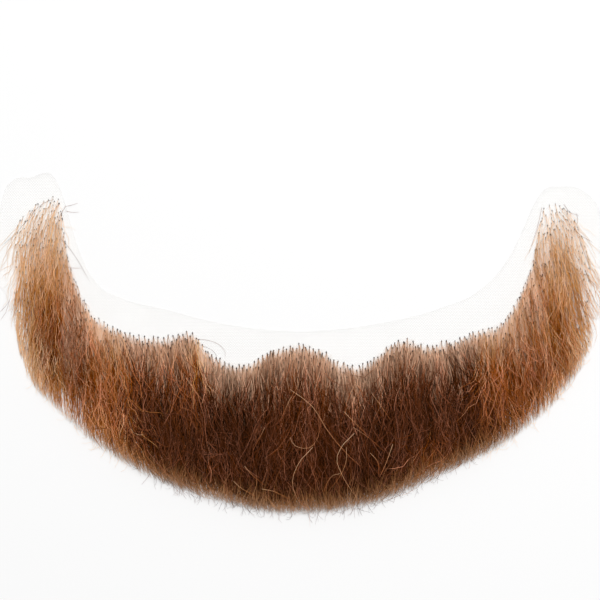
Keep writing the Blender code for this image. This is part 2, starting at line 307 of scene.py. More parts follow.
# Pale tips at the lower edge are partly the hair's own colour and partly painted light of thin tips over the
# white table
PALE_LIT_TIP_NEAR = 0.0030  # a hair's tip is pale where it ends this near to the lower edge, less and less over this way inside it, which is longer by this share on the arms, and farther in, this share of the root-to-tip colours is left out
PALE_LIT_TIP_FADE = 0.0040  # less and less over this way inside it,
ARM_PALE_LIT_TIP = 1.5  # which is longer by this share on the arms,
NO_PALE_LIT_TIP = 0.34  # and farther in, this share of the root-to-tip colours is left out

# Values of a hair's looks that change with its tone: at tone 0, and how much more at tone 1
BY_TONE = {
    "pale_lit_tip_start": (0.26, 0.40),
    "pale_lit_tip": (0.18, 0.75),
    "root_end": (0.345, -0.165),
    "root": (0.67, 0.30),
    "end": (1.55, -1.0),
    "light": (0.81, -0.48),
    "light_shade": (0.36, 0.44),
}
# Stretches of a hair, 0 at its root and 1 at its tip, that a change of its looks runs over
UPPER_STRETCH = (0.10, 0.32)
END_STRETCH = (0.80, 0.97)
KNOT_STRETCH = (0.010, 0.045)
ROOT_START = 0.04
# The pale root is partly the hair's own colour and partly painted light: the white table's light through the
# thin hair
UPPER_PALE = 0.28  # nearer to its root than that stretch a hair is paler by this much tone,
SHADE_PALE = 0.10  # and where it is light, by this much
VALUE = 1.21  # value of the tone's colour,
VALUE_TONE = 1.02  # less this for its tone,
VALUE_SHADE = 1.40  # and this more for tone and lightness
SATURATION = 1.18
SATURATION_SHADE = 0.35  # less saturated where it is light
KNOT_DARK = 0.75
DIM_ROOT = 0.45  # share of the pale root on the darkest hairs,
DIM_SHADE = 0.3  # which is whole from this lightness
ROOT_KEEPS = 0.6  # share of its own value that a pale root keeps, against the hair's lightness, and that a pale tip, partly painted light, does
TIP_KEEPS = 0.8  # and that a bleached tip does
HAIR_ROUGH = 0.42
TIP_ROUGH = 0.18  # rougher by this at its tip
HAIR_SHINE = 0.10
HAIR_IOR = 1.4
HAIR_TINT = (1.0, 0.80, 0.62)
THREAD_BLUR = 0.2  # the thread's border is soft by this share of half its width

# The stage
TABLE_HALF = 1.5
TABLE_GREY = 0.60
LAMP_SIZE = 0.9
LAMP_PLACE = (0.20, 0.45, 1.44)
VIEW_MIDDLE = (-0.0013, 0.0203)  # the place that the camera stands above

# Kinds of hair: the share of each knot's hairs, the fewest in a knot, the stretch of distances from the
# front edge that it starts and ends in, the share of half the span that it reaches out to, its number of
# points, the spread of its own heading, of its turn towards the tip and of each step's crimp in degrees,
# the power of its rise to the top of the pile, the range of depth that it ends in, its width and its length
# as shares, the stretch of the root-to-tip colours that it shows, the range of its lightness, and the power
# that makes the light ones rare. The range of lightness holds painted shade as well as the hair's own
# colour: kinds that lie deep in the pile are darker, and those on top lighter
HAIR_KINDS = (
    {"kind": "locks", "part": 0.16, "least": 0, "front": (0.008, 1.0), "out": 1.0, "points": 5, "own": 3.0,
     "turn": 12.0, "crimp": 4.0, "rise": 1.0, "depth": (0.25, 0.70), "width": 2.4, "length": 1.35,
     "along": (0.0, 1.0), "shade": (0.0, 0.3), "power": 1.0},
    {"kind": "strands", "part": 0.40, "least": 1, "front": (-1.0, 1.0), "out": 1.0, "points": 10, "own": 6.5,
     "turn": 18.0, "crimp": 13.0, "rise": 0.9, "depth": (0.72, 1.00), "width": 1.0, "length": 1.0,
     "along": (0.0, 1.0), "shade": (0.0, 1.0), "power": 2.8},
    {"kind": "loose", "part": 0.09, "least": 0, "front": (-1.0, 1.0), "out": 0.92, "points": 12, "own": 8.0,
     "turn": 32.0, "crimp": 17.0, "rise": 0.35, "depth": (0.97, 1.14), "width": 0.85, "length": 1.0,
     "along": (0.0, 1.0), "shade": (0.2, 1.0), "power": 1.4},
    {"kind": "curls", "part": 0.11, "least": 0, "front": (0.002, 1.0), "out": 0.88, "points": 9, "own": 14.0,
     "turn": 60.0, "crimp": 14.0, "rise": 0.30, "depth": (0.90, 1.10), "width": 1.0, "length": 0.50,
     "along": (0.0, 1.0), "shade": (0.2, 1.0), "power": 1.4},
    {"kind": "short_ends", "part": 0.90, "least": 0, "front": (-1.0, 0.011), "out": 1.0, "points": 4,
     "own": 10.0, "turn": 22.0, "crimp": 10.0, "rise": 1.0, "depth": (0.20, 0.80), "width": 0.75,
     "length": 0.20, "along": (0.03, 0.20), "shade": (0.3, 1.0), "power": 1.0},
)

# Fields of hair: the piece's name, where it starts and ends across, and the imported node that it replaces,
# with that node's material slot
FIELDS = (
    ("sideburn_strands_left", -1.0, LEFT_BORDER, "sideburn_hair_left", "pale_hair"),
    ("cheek_strands_left", LEFT_BORDER, CHIN_START, "cheek_hair_left", "auburn_hair"),
    ("chin_strands_left", CHIN_START, CHIN_START / 3, "chin_hair", "dark_hair"),
    ("chin_strands_middle", CHIN_START / 3, CHIN_END / 3, "chin_hair", "dark_hair"),
    ("chin_strands_right", CHIN_END / 3, CHIN_END, "chin_hair", "dark_hair"),
    ("cheek_strands_right", CHIN_END, RIGHT_BORDER, "cheek_hair_right", "auburn_hair"),
    ("sideburn_strands_right", RIGHT_BORDER, 1.0, "sideburn_hair_right", "pale_hair"),
)


def size_property(name, description, default):
    """A setting in metres."""
    return FloatProperty(
        name=name, description=description, default=default, subtype="DISTANCE", unit="LENGTH"
    )


def colour_property(name, description, default):
    """A setting for a colour."""
    return FloatVectorProperty(name=name, description=description, default=default, subtype="COLOR")


class HairSettings(PropertyGroup):
    hair_width: size_property("Hair width", "Width of one hair near its root", 0.00015)
    chin_length: size_property("Chin length", "Mean length of the hair on the chin", 0.042)
    arm_length: size_property("Sideburn length", "Mean length of the hair on the sideburns", 0.018)
    knot_pitch: size_property("Knot pitch", "Distance between two knots of a row", 0.0021)
    row_pitch: size_property("Row pitch", "Distance between two rows of knots", 0.00175)
    hairs_per_knot: IntProperty(
        name="Hairs per knot", description="Hairs tied in a knot, past the front rows", default=9
    )
    knot_size: size_property("Knot size", "Length of one knot", 0.00076)
    wisps: IntProperty(name="Wisps", description="Short curled tips at the lower edge", default=400)
    straw: colour_property("Straw", "Tone 0", (0.90, 0.63, 0.39))
    golden: colour_property("Golden", "Tone 0.25", (0.86, 0.43, 0.17))
    auburn: colour_property("Auburn", "Tone 0.5", (0.64, 0.182, 0.046))
    russet: colour_property("Russet", "Tone 0.75", (0.25, 0.064, 0.016))
    umber: colour_property("Umber", "Tone 1", (0.086, 0.0235, 0.0075))
    # Pale root and end colour: partly the hair's own, partly painted light of thin hair over the white table
    root: colour_property("Root", "Pale hair just below a knot", (0.98, 0.65, 0.44))
    # Tip colour: partly paler tips, partly painted light of thin tips at the lower edge
    tip: colour_property("Tip", "Bleached hair tips", (1.0, 0.47, 0.17))
    knot: colour_property("Knot", "Tight knots", (0.045, 0.025, 0.020))


class NetSettings(PropertyGroup):
    cell: size_property("Cell", "Width of one mesh of the net", 0.0007)
    thread: size_property("Thread", "Width of its thread", 0.00008)
    thickness: size_property("Thickness", "Thickness of the net", 0.00010)
    wave: size_property("Wave", "How far the bare margin lifts off the table", 0.0008)
    cover: FloatProperty(
        name="Cover", description="How little light its thread lets through", default=0.5, subtype="FACTOR"
    )
    haired_cover: FloatProperty(
        name="Haired cover", description="The same where hair is tied to it", default=0.95, subtype="FACTOR"
    )
    colour: colour_property("Thread colour", "Colour of the thread", (0.92, 0.90, 0.86))
    # Where hair is tied the net turns a near-opaque brown: thread and hair ends between the knots, and
    # painted shade between the hairs
    haired_colour_and_shade: colour_property(
        "Haired colour", "Thread and hair ends between the knots", (0.80, 0.52, 0.35)
    )


class StageSettings(PropertyGroup):
    view_width: size_property("View width", "Width of the table that the camera sees", 0.258)
    lens: FloatProperty(name="Lens", description="Focal length", default=85.0, subtype="DISTANCE_CAMERA")
    sky: FloatProperty(name="Sky", description="Brightness of the white surroundings", default=0.43)
    glow: FloatProperty(name="Table glow", description="Light that the table itself gives", default=0.32)
    key: FloatProperty(name="Key light", description="Power of the soft light", default=18.5, unit="POWER")


def through(rows, at):
    """The smooth curve through a table's rows, read at each value of at: between two rows it is the cubic
    that has their heights and, at each, the mean slope of the stretches beside it."""
    x, y = rows[:, 0], rows[:, 1]
    slope = np.gradient(y, x)
    at = np.clip(at, x[0], x[-1])
    i = np.clip(np.searchsorted(x, at) - 1, 0, len(x) - 2)
    step = x[i + 1] - x[i]
    t = (at - x[i]) / step
    rise = slope[i] * step * t * (1 - t) ** 2 - slope[i + 1] * step * t**2 * (1 - t)
    return y[i] * (1 + 2 * t) * (1 - t) ** 2 + y[i + 1] * t**2 * (3 - 2 * t) + rise


def knots_y(x):
    """Height of the front row of knots at x."""
    return CHIN_TIP + HAIR_HEIGHT * through(KNOT_EDGE, x / HALF_SPAN)


def tips_y(x):
    """Height of the lowest tips at x."""
    return CHIN_TIP + HAIR_HEIGHT * through(TIP_EDGE, x / HALF_SPAN)


def net_upper_y(x):
    """Height of the net's upper edge at x."""
    return CHIN_TIP + NET_REACH * through(NET_UPPER, x / HALF_NET)


def net_lower_y(x):
    """Height of the net's lower edge at x: that of the tips plus how far they hang past it."""
    return tips_y(x) + through(NET_OVERHANG, x / HALF_NET)


def drift(name, x, y):
    """A smooth random field about 0: the sum of some plane waves of about its size, whose directions,
    lengths and phases come from its seed, over the root of their number, times its strength."""
    strength, size, seed, upward = DRIFTS[name]
    y = upward * y
    rng = np.random.default_rng(seed)
    shortest, longest = WAVE_STRETCH
    whole_turn = 2 * math.pi
    waves = rng.uniform((0, 0, shortest), (whole_turn, whole_turn, longest), (WAVE_COUNT, 3))
    total = 0.0
    for turn, phase, stretch in waves:
        way = x * math.cos(turn) + y * math.sin(turn)
        total = total + np.sin(whole_turn * way / (size * stretch) + phase)
    return strength * (total / math.sqrt(WAVE_COUNT))


def arm_share(x):
    """0 on the chin, 1 on the sideburns, and straight between them over the cheeks."""
    return np.clip((np.abs(x) - CHIN_END) / (RIGHT_BORDER - CHIN_END), 0.0, 1.0)


def net_z(x, y, wave):
    """Height of the net: flat under the hair, and past the front knots raised by a drift that grows as it
    goes."""
    bare = np.clip((y - knots_y(x)) / NET_RISE, 0.0, 1.0)
    return NET_LIE + wave * bare * np.clip(0.5 + drift("net_lift", x, y), 0.0, 1.0)


def hair_depth(x, along):
    """Depth of the hair at x, along its way from the knots at 0 to the tips at 1: its greatest depth times
    the shares for its place across and along, plus a seat that grows from the knots to the tips."""
    most = HAIR_DEPTH * DEPTH_SHARE * through(DEPTH_ACROSS, x / HALF_SPAN) * (1 + drift("depth", x, 0.0))
    swell = np.clip(through(DEPTH_ALONG, along), 0.0, 1.0)
    return most * swell + HAIR_SEAT + (TIP_SEAT - HAIR_SEAT) * np.clip(along, 0, 1)


def share_along(x, y):
    """How far down from the front knots to the tips a place is, from 0 to 1."""
    top, low = knots_y(x), tips_y(x)
    return np.clip((top - y) / (top - low), 0.0, 1.0)


def off_edge(edge, x, y):
    """How far above an edge, the function edge(x), a place is: its height above it, over the length of the
    edge's tangent there, whose step across is 1. Places under the edge have a minus sign."""
    beside = 0.001
    slope = (edge(x + beside) - edge(x - beside)) / (2 * beside)
    return (y - edge(x)) / np.hypot(1.0, slope)


def outer_share(x, y):
    """1 at the lower edge outside the chin, less and less inside it, and 0 on the chin."""
    return np.clip(1 - off_edge(tips_y, x, y) / OUTER_REACH, 0.0, 1.0) * (np.abs(x) > CHIN_END)


def mesh_piece(name, points, faces, corner_uv, material):
    """A piece whose faces are rows of an array of corner numbers, all with as many corners, or a list of such
    arrays. corner_uv gives each corner's place in the UV map."""
    faces = faces if isinstance(faces, list) else [faces]
    sizes = np.concatenate([np.full(len(f), f.shape[1]) for f in faces])
    corners = np.concatenate([f.ravel() for f in faces]).astype(np.int32)
    mesh = bpy.data.meshes.new(name)
    mesh.vertices.add(len(points))
    mesh.vertices.foreach_set("co", np.asarray(points, np.float32).ravel())
    mesh.loops.add(len(corners))
    mesh.loops.foreach_set("vertex_index", corners)
    mesh.polygons.add(len(sizes))
    mesh.polygons.foreach_set("loop_start", (np.cumsum(sizes) - sizes).astype(np.int32))
    mesh.update(calc_edges=True)
    layer = mesh.uv_layers.new(name="OFBake")
    layer.uv.foreach_set("vector", np.asarray(corner_uv, np.float32).ravel())
    mesh.shade_smooth()
    mesh.materials.append(material)
    piece = bpy.data.objects.new(name, mesh)
    bpy.context.scene.collection.objects.link(piece)
    return piece


def unit(vectors):
    """Each vector over its length."""
    least = 1e-12
    return vectors / np.maximum(np.linalg.norm(vectors, axis=-1, keepdims=True), least)


def hair_tubes(name, paths, steps, widths, columns, material, v_start, v_end):
    """Closed tubes along paths, an array of hairs by points by 3. Each point but the last carries a ring of
    three corners round the path, a third of a turn apart, and the last is the hair's pointed tip. In the UV
    map a hair stands in its own column, u, and v runs from its v_start at the root to its v_end at the
    tip."""
    count, points = paths.shape[:2]
    steps = np.asarray(steps)
    rng = np.random.default_rng(len(name) + count)
    along = unit(np.gradient(paths, axis=1))
    side = unit(np.cross(along, (0.0, 0.0, 1.0)))
    up = np.cross(along, side)
    taper = np.interp(steps, TAPER[:, 0], TAPER[:, 1])
    radius = widths[:, None] / 2 * taper
    turns = rng.uniform(0, 2 * math.pi, count)[:, None] + 2 * math.pi / HAIR_SIDES * np.arange(HAIR_SIDES)
    ring = (
        np.cos(turns)[:, None, :, None] * side[:, :-1, None, :]
        + np.sin(turns)[:, None, :, None] * up[:, :-1, None, :]
    )
    rings = paths[:, :-1, None, :] + radius[:, :-1, None, None] * ring
    corners = np.concatenate([rings.reshape(count, -1, 3), paths[:, -1:, :]], axis=1)
    size = (points - 1) * HAIR_SIDES + 1
    k = np.arange(HAIR_SIDES)
    after = (k + 1) % HAIR_SIDES
    levels = np.arange(points - 2)[:, None] * HAIR_SIDES
    above = levels + HAIR_SIDES
    quads = np.stack([levels + k, levels + after, above + after, above + k], axis=-1)
    last = (points - 2) * HAIR_SIDES
    tip_ends = np.stack([last + k, last + after, np.full(HAIR_SIDES, size - 1)], axis=-1)
    root_end = -k % HAIR_SIDES
    ends = np.vstack([tip_ends, root_end[None]])
    starts = (np.arange(count) * size)[:, None, None]
    quads = (starts + quads.reshape(1, -1, 4)).reshape(-1, 4)
    ends = (starts + ends[None]).reshape(-1, 3)

    edge = COLUMN_FILL * (np.arange(HAIR_SIDES + 1) / HAIR_SIDES - 0.5)
    left, right = edge[:-1], edge[1:]
    quad_u = np.broadcast_to(np.stack([left, right, right, left], -1), (points - 2, HAIR_SIDES, 4))
    quad_t = np.stack([steps[:-2], steps[:-2], steps[1:-1], steps[1:-1]], -1)[:, None, :]
    quad_t = np.broadcast_to(quad_t, (points - 2, HAIR_SIDES, 4))
    end_u = np.vstack([np.stack([left, right, (left + right) / 2], -1), [edge[0], edge[-1], 0.0]])
    end_t = np.vstack([np.tile(steps[[-2, -2, -1]], (HAIR_SIDES, 1)), [0.0, 0.0, 0.01]])
    uv = []
    for u, t in ((quad_u, quad_t), (end_u, end_t)):
        across = (columns[:, None] + 0.5 + u.ravel()) / (TONE_COUNT * SHADE_COUNT)
        along = v_start[:, None] + (v_end - v_start)[:, None] * t.ravel()
        uv.append(np.stack([across, along], axis=-1).reshape(-1, 2))
    return mesh_piece(name, corners.reshape(-1, 3), [quads, ends], np.concatenate(uv), material)


def in_patch(patch, x, y):
    """How much a place belongs to a patch: 1 at its middle, falling as a bell does."""
    middle_x, middle_y, wide, high = patch[:4]
    return np.exp(-(((1000 * x - middle_x) / wide) ** 2) - ((1000 * y - middle_y) / high) ** 2)


def tone_at(x, y, rng):
    """Tone of a hair rooted there: the tone across, turned to straw up the arms and changed by the patches,
    less at the outer edge, with a little drift and chance."""
    down = np.clip(knots_y(x) - y, 0.0, TONE_BLUR_REACH)
    blurred = x + rng.normal(0, 1, len(x)) * (TONE_BLUR + TONE_BLUR_MORE * down)
    tone = np.interp(blurred / HALF_SPAN, TONE_ACROSS[:, 0], TONE_ACROSS[:, 1])
    pale = np.clip((y - PALE_LOW) / (PALE_HIGH - PALE_LOW), 0.0, 1.0)
    tone = tone + (PALE_TONE - tone) * pale**PALE_POWER
    for patch in PATCHES:
        tone = tone + patch[4] * in_patch(patch, blurred, y)
    tone = tone - OUTER_PALE * outer_share(x, y)
    streak = drift("tone", x, y)
    return np.clip(tone + streak + rng.normal(0, TONE_SPREAD, len(x)), 0.0, 1.0)


def columns_of(tone, shade):
    """The UV column of each hair, from its tone and its lightness, which both run from 0 to 1."""
    tone_step = np.rint(tone * (TONE_COUNT - 1))
    shade_step = np.clip(np.floor(shade * SHADE_COUNT), 0, SHADE_COUNT - 1)
    return tone_step * SHADE_COUNT + shade_step


def knot_places(hair):
    """Places of the knots. The columns stand a pitch apart along the front edge, and the rows follow it
    downwards, every other one half a pitch over, as far as the net reaches. Behind a steep stretch of the
    edge, where the columns crowd, as many knots are left out as keep the rest a pitch apart."""
    rng = np.random.default_rng(SEEDS["knots"])
    x = np.linspace(-HALF_SPAN, HALF_SPAN, EDGE_SAMPLES)
    walked = np.concatenate([[0.0], np.cumsum(np.hypot(np.diff(x), np.diff(knots_y(x))))])
    column_x = np.interp(np.arange(hair.knot_pitch / 2, walked[-1], hair.knot_pitch), walked, x)
    spread = np.gradient(column_x) / hair.knot_pitch
    rows = np.arange(int(HAIR_HEIGHT / hair.row_pitch))
    row, column = (grid.ravel() for grid in np.meshgrid(rows, np.arange(len(column_x)), indexing="ij"))
    kept = (row == 0) | (rng.random(len(row)) < spread[column])
    row, column = row[kept], column[kept]
    jitter = rng.normal(0, 1, (2, len(row))) * KNOT_JITTER
    x = column_x[column] + 0.5 * (row % 2) * hair.knot_pitch * spread[column] + jitter[0]
    y = knots_y(x) - row * hair.row_pitch + jitter[1]
    kept = (y > net_lower_y(x) + NET_HEM) & (x > KNOT_LIMIT_LEFT * HALF_SPAN)
    kept = kept & (x < KNOT_LIMIT_RIGHT * HALF_SPAN)
    return x[kept], y[kept]


def tied_hairs(kind, hair, rng):
    """Root of every hair of a kind, and the number of its knot. A knot holds fewer hairs in the front rows,
    up the arms and out to their outer edges."""
    x, y = knot_places(hair)
    inside = -off_edge(knots_y, x, y)
    fill = np.interp(x / HALF_SPAN, FILL_ACROSS[:, 0], FILL_ACROSS[:, 1])
    fill = fill * np.interp(inside, FILL_FRONT[:, 0], FILL_FRONT[:, 1])
    fill = fill * np.interp(y, (ARM_LOW, ARM_HIGH), (1.0, ARM_FILL))
    fill = fill * (1 - OUTER_THIN * outer_share(x, y))
    first, last = kind["front"]
    tied = (inside >= first) & (inside <= last) & (np.abs(x) < kind["out"] * HALF_SPAN)
    wanted = hair.hairs_per_knot * kind["part"] * fill * tied
    count = np.maximum(np.floor(wanted + rng.random(len(x))), kind["least"]).astype(int)
    knot = np.repeat(np.arange(len(x)), count)
    spot = rng.normal(0, ROOT_SPREAD, (2, len(knot)))
    return x[knot] + spot[0], y[knot] + spot[1], knot


def lean_at(x, y):
    """Which way the hair leans at a place, in radians: the table's lean with a drift that neighbours
    share."""
    upper = np.clip((y - LEAN_LOW) / (LEAN_HIGH - LEAN_LOW), 0.0, 1.0)
    low, high = (through(LEAN_ACROSS[:, [0, column]], x / HALF_SPAN) for column in (2, 1))
    return np.radians(low + (high - low) * upper + drift("lean", x, y))


def hair_steps(kind):
    """Shares of a hair's length where it bends, closer together near the root."""
    return np.linspace(0.0, 1.0, kind["points"]) ** STEP_POWER


def hair_paths(x, y, knot, kind, hair, rng):
    """Points of every hair from its root. It walks down step by step, in the direction of the lean where it
    stands, plus its own heading, a turn that grows with its share of the way, and each step's crimp. A walk
    that would pass the beard's lower edge is made shorter. It rises from the net with the share that it has
    walked of the longest hair that passes there, to its own place in the pile's depth."""
    count = len(x)
    steps = hair_steps(kind)
    chin = np.clip((RIGHT_BORDER - np.abs(x)) / (RIGHT_BORDER - CHIN_END * FULL_CHIN), 0.0, 1.0)
    mean = (hair.arm_length + (hair.chin_length - hair.arm_length) * chin) * kind["length"]
    length = mean * np.clip(rng.normal(1.0, LENGTH_SPREAD, count), *LENGTH_RANGE)
    for patch in PATCHES:
        length = length * (1 - (1 - patch[5]) * in_patch(patch, x, y))
    knot_turn = np.random.default_rng(SEEDS["knot_turn"]).normal(0, 1, knot.max() + 1)[knot]
    own = np.radians(KNOT_TURN * knot_turn + kind["own"] * rng.normal(0, 1, count))
    turn = np.radians(kind["turn"] * rng.normal(0, 1, count) + drift("turn", x, y))
    crimp = np.radians(kind["crimp"]) * rng.normal(0, 1, (count, len(steps) - 1))
    crimp = crimp * np.minimum(FULL_CRIMP * steps[1:], 1.0)

    def walk(length):
        """Places of every hair's points, seen from above, for hairs of these lengths."""
        px, py = [x], [y]
        for start, end, bend in zip(steps[:-1], steps[1:], crimp.T):
            way = lean_at(px[-1], py[-1]) + own + turn * ((start + end) / 2) ** TURN_POWER + bend
            stride = length * (end - start)
            px.append(px[-1] + stride * np.sin(way))
            py.append(py[-1] - stride * np.cos(way))
        return np.stack(px, axis=1), np.stack(py, axis=1)

    inset = rng.gamma(INSET_SHAPE, INSET_SCALE, count) + INSET_LEAST + drift("inset", x, y)
    inset = inset * (ARM_INSET + (1 - ARM_INSET) * chin)
    for _ in range(2):
        px, py = walk(length)
        end_y, edge_y = py[:, -1], tips_y(px[:, -1])
        room = y - edge_y - inset
        length = np.where(end_y < edge_y + inset, length * room / (y - end_y), length)
        length = np.maximum(length, SHORTEST)
    px, py = walk(length)

    along = share_along(px, py)
    down = np.maximum(knots_y(px) - py, 0.0)
    least_way = 0.0004
    longest = np.minimum(mean[:, None] * LONGEST, down + least_way)
    share = np.clip(length[:, None] * steps / longest, 0.0, 1.0) ** kind["rise"]
    low, high = kind["depth"]
    place = low + (high - low) * rng.random(count)[:, None]
    pz = NET_LIE + hair.hair_width + hair_depth(px, along) * share * place
    pz[:, 0] = NET_LIE + hair.hair_width
    return np.stack([px, py, pz], axis=-1)


def smooth_curve(points, steps):
    """The curve through points at each share of its length, by the cubics of through along the points'
    chords."""
    points = np.asarray(points)
    chord = np.concatenate([[0.0], np.cumsum(np.linalg.norm(np.diff(points, axis=0), axis=1))])
    at = steps * chord[-1]
    return np.stack([through(np.stack([chord, values], axis=1), at) for values in points.T], axis=1)


def rim_wisps(count, rng):
    """Short curled tips at the beard's lower edge: each starts a little inside it and turns as it walks."""
    across = rng.uniform(*WISP["across"], count)
    x = across * HALF_SPAN
    y = tips_y(x) + rng.uniform(*WISP["inside"], count)
    step = rng.uniform(*WISP["length"], count) / (len(STRAY_STEPS) - 1)
    heading = np.radians(rng.normal(*WISP["heading"], count))
    turn = np.radians(rng.normal(0, WISP["turn"], count))
    way = heading[:, None] + turn[:, None] * STRAY_STEPS[None, 1:]
    start = np.zeros((count, 1))
    x = x[:, None] + np.concatenate([start, np.cumsum(step[:, None] * np.sin(way), axis=1)], axis=1)
    y = y[:, None] - np.concatenate([start, np.cumsum(step[:, None] * np.cos(way), axis=1)], axis=1)
    z = NET_LIE + TIP_SEAT * rng.uniform(*WISP["height"], count)
    return np.stack([x, y, np.broadcast_to(z[:, None], x.shape)], axis=-1)


class Sock:
    """An output socket of a material's node tree. Operators on it add Math nodes, and node adds any other."""

    def __init__(self, tree, socket=None):
        self.tree, self.socket = tree, socket

    def node(self, kind, settings=(), **values):
        """A new node of that kind. settings are set first, with a ramp's stops among them, and then its
        sockets, whose names have _ for a space, take a value or another socket's link."""
        made = self.tree.nodes.new(kind)
        for name, value in dict(settings).items():
            if name == "stops":
                while len(made.color_ramp.elements) < len(value):
                    made.color_ramp.elements.new(1.0)
                for element, (place, colour) in zip(made.color_ramp.elements, value):
                    element.position, element.color = place, (*colour, 1.0)
            else:
                setattr(made, name, value)
        for name, value in values.items():
            key = int(name[1:]) if name[1:].isdigit() else name.replace("_", " ")
            if isinstance(value, Sock):
                self.tree.links.new(value.socket, made.inputs[key])
            elif made.inputs[key].type == "RGBA":
                made.inputs[key].default_value = (*value, 1.0)
            else:
                made.inputs[key].default_value = value
        return made

    def out(self, made, output=0):
        """One output of a node, by its number."""
        return Sock(self.tree, made.outputs[output])

    def math(self, operation, first, second=0.0):
        """The result of a Math node with two values."""
        return self.out(self.node("ShaderNodeMath", {"operation": operation}, i0=first, i1=second))

    def mix(self, factor, colour_a, colour_b):
        """Colour a turned to colour b by factor."""
        settings = {"data_type": "RGBA"}
        return self.out(self.node("ShaderNodeMix", settings, i0=factor, i6=colour_a, i7=colour_b), 2)

    def hue(self, colour, saturation, value):
        """A colour with its saturation and its value multiplied."""
        made = self.node("ShaderNodeHueSaturation", Saturation=saturation, Value=value, Color=colour)
        return self.out(made)

    def step(self, low, high):
        """0 where this value is under low, 1 where it is over high, and straight between."""
        made = self.node("ShaderNodeMapRange", {"clamp": True}, Value=self, From_Min=low, From_Max=high)
        return self.out(made)

    def __add__(self, other):
        return self.math("ADD", self, other)

    __radd__ = __add__

    def __sub__(self, other):
        return self.math("SUBTRACT", self, other)

    def __rsub__(self, other):
        return self.math("SUBTRACT", other, self)

    def __mul__(self, other):
        return self.math("MULTIPLY", self, other)

    __rmul__ = __mul__

    def __truediv__(self, other):
        return self.math("DIVIDE", self, other)

    def __mod__(self, other):
        return self.math("FLOORED_MODULO", self, other)


def new_material(name):
    """A new material, its start socket for nodes, and its Principled shader."""
    material = bpy.data.materials.new(name)
    material.use_nodes = True
    tree = material.node_tree
    return material, Sock(tree), tree.nodes["Principled BSDF"]


def hair_material(hair):
    """Colour of a hair from its UV column and the way along it: the tone's colour, lightened or darkened
    hair by hair, with painted shade on the kinds deep in the pile, dark in the knot, and pale just below it
    and at the tip, partly its own colour and partly painted light."""
    material, start, shader = new_material("hand_tied_hair")
    place = start.out(start.node("ShaderNodeUVMap", {"uv_map": "OFBake"}))
    split = start.node("ShaderNodeSeparateXYZ", Vector=place)
    u, v = start.out(split, 0), start.out(split, 1)
    scaled = u * TONE_COUNT
    tone = start.math("FLOOR", scaled) / (TONE_COUNT - 1)
    shade = scaled % 1.0

    def by_tone(name):
        """A value that changes with the tone, as BY_TONE gives it."""
        at_straw, more = BY_TONE[name]
        return at_straw + more * tone

    palette = [
        (0.0, hair.straw), (0.25, hair.golden), (0.5, hair.auburn), (0.75, hair.russet), (1.0, hair.umber)
    ]
    paler = tone - UPPER_PALE * (1 - v.step(*UPPER_STRETCH)) - SHADE_PALE * shade
    colour = start.out(start.node("ShaderNodeValToRGB", {"stops": palette}, Fac=paler))
    value = VALUE - VALUE_TONE * paler + VALUE_SHADE * paler * shade
    colour = start.hue(colour, SATURATION - SATURATION_SHADE * shade, value)
    # Tips that end near the lower edge turn pale: the hair's own paler tips, and painted light of thin tips
    # over the white table
    tipped = v.step(by_tone("pale_lit_tip_start"), 1.0) * by_tone("pale_lit_tip")
    colour = start.mix(tipped, colour, hair.tip)
    # Pale just below the knot: partly the hair's own colour and partly painted light, the table's light
    # through the thin hair
    rooted = (1 - v.step(ROOT_START, by_tone("root_end"))) * by_tone("root")
    rooted = rooted * (DIM_ROOT + (1 - DIM_ROOT) * shade.step(0.0, DIM_SHADE))
    # The hair's end near the lower edge takes the pale root colour too, painted light at the tips
    pale_ends = start.math("MAXIMUM", rooted, v.step(*END_STRETCH) * by_tone("end"))
    colour = start.mix(pale_ends, colour, hair.root)
    colour = start.mix((1 - v.step(*KNOT_STRETCH)) * KNOT_DARK, colour, hair.knot)
    # The hair's lightness, with its painted shade, is kept less at the pale root and tip
    light = by_tone("light") + by_tone("light_shade") * shade
    light = 1 + (light - 1) * (1 - ROOT_KEEPS * rooted) * (1 - TIP_KEEPS * tipped)
    colour = start.hue(colour, 1.0, light)
    start.tree.links.new(colour.socket, shader.inputs["Base Color"])
    rough = HAIR_ROUGH + TIP_ROUGH * v
    start.tree.links.new(rough.socket, shader.inputs["Roughness"])
    shader.inputs["Specular IOR Level"].default_value = HAIR_SHINE
    shader.inputs["IOR"].default_value = HAIR_IOR
    shader.inputs["Specular Tint"].default_value = (*HAIR_TINT, 1.0)
    return material


